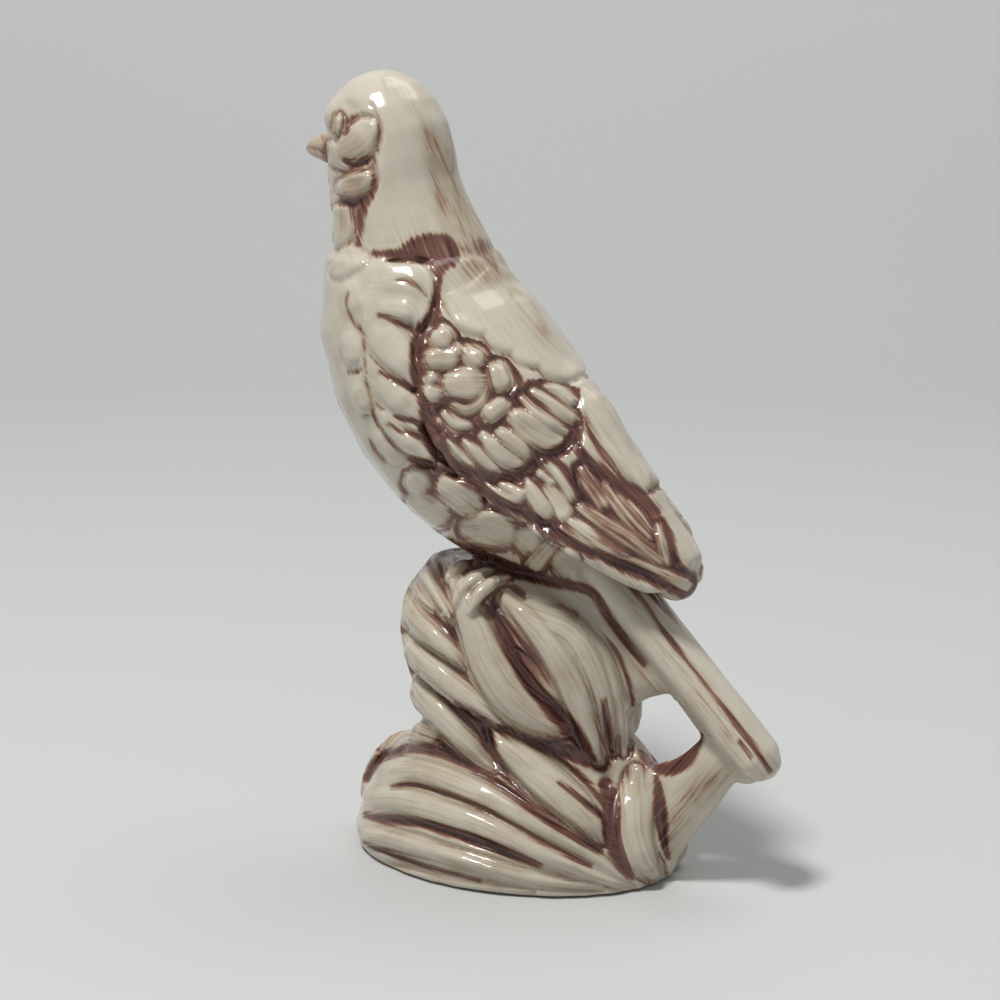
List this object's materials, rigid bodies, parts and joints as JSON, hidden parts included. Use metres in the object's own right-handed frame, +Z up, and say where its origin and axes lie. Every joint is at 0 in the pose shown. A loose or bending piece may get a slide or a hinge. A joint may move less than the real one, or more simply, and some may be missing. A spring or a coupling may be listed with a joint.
{
  "type": "bird figurine",
  "caption": "Glazed ceramic figurine of a bird with folded wings on a leaf-wrapped stump, its long tail braced by a strut to an oval base",
  "frame": {"origin": "middle of the part's box at the bottom, on the surface that the foot ring stands on", "axes": "+Z up, the bird looks towards -X and its tail points to +X, its left side faces -Y"},
  "size_m": [0.132, 0.0684, 0.1969],
  "materials": {
    "ivory_glaze": "glossy clear glaze over ivory, brown stain in the recesses",
    "leaf_glaze": "glossy clear glaze over cream, brown stain in the recesses",
    "beak_glaze": "glossy clear glaze over a tan to brown stain"
  },
  "bodies": {
    "root": {"base_mound": "leaf_glaze", "stump": "leaf_glaze", "tail_strut": "leaf_glaze", "leaf_under_foot": "leaf_glaze", "arching_leaf": "leaf_glaze", "arching_leaf_outer": "leaf_glaze", "inner_leaf": "leaf_glaze", "front_blade_1": "leaf_glaze", "front_blade_2": "leaf_glaze", "front_blade_3": "leaf_glaze", "front_blade_4": "leaf_glaze", "front_blade_5": "leaf_glaze", "centre_leaf": "leaf_glaze", "upright_leaf": "leaf_glaze", "base_leaf_upper": "leaf_glaze", "base_leaf_middle": "leaf_glaze", "base_leaf_lower": "leaf_glaze", "base_leaf_front": "leaf_glaze", "base_leaf_breast": "leaf_glaze", "far_blade_1": "leaf_glaze", "far_blade_2": "leaf_glaze", "far_blade_3": "leaf_glaze", "far_blade_4": "leaf_glaze", "far_long_leaf": "leaf_glaze", "far_arching_leaf": "leaf_glaze", "far_arching_leaf_outer": "leaf_glaze", "far_inner_leaf": "leaf_glaze", "far_centre_leaf": "leaf_glaze", "far_upright_leaf": "leaf_glaze", "far_base_leaf_front": "leaf_glaze", "far_base_leaf_upper": "leaf_glaze", "far_base_leaf_middle": "leaf_glaze", "far_base_leaf_lower": "leaf_glaze", "left_foot": "leaf_glaze", "right_foot": "leaf_glaze", "torso": "ivory_glaze", "head": "ivory_glaze", "mantle": "ivory_glaze", "left_wing_shoulder": "ivory_glaze", "right_wing_shoulder": "ivory_glaze", "left_wing_coverts": "ivory_glaze", "right_wing_coverts": "ivory_glaze", "left_wing_flight": "ivory_glaze", "right_wing_flight": "ivory_glaze", "left_eye": "ivory_glaze", "right_eye": "ivory_glaze", "left_cheek": "ivory_glaze", "right_cheek": "ivory_glaze", "upper_beak": "beak_glaze", "lower_beak": "beak_glaze", "tail": "ivory_glaze"}
  },
  "joints": []
}
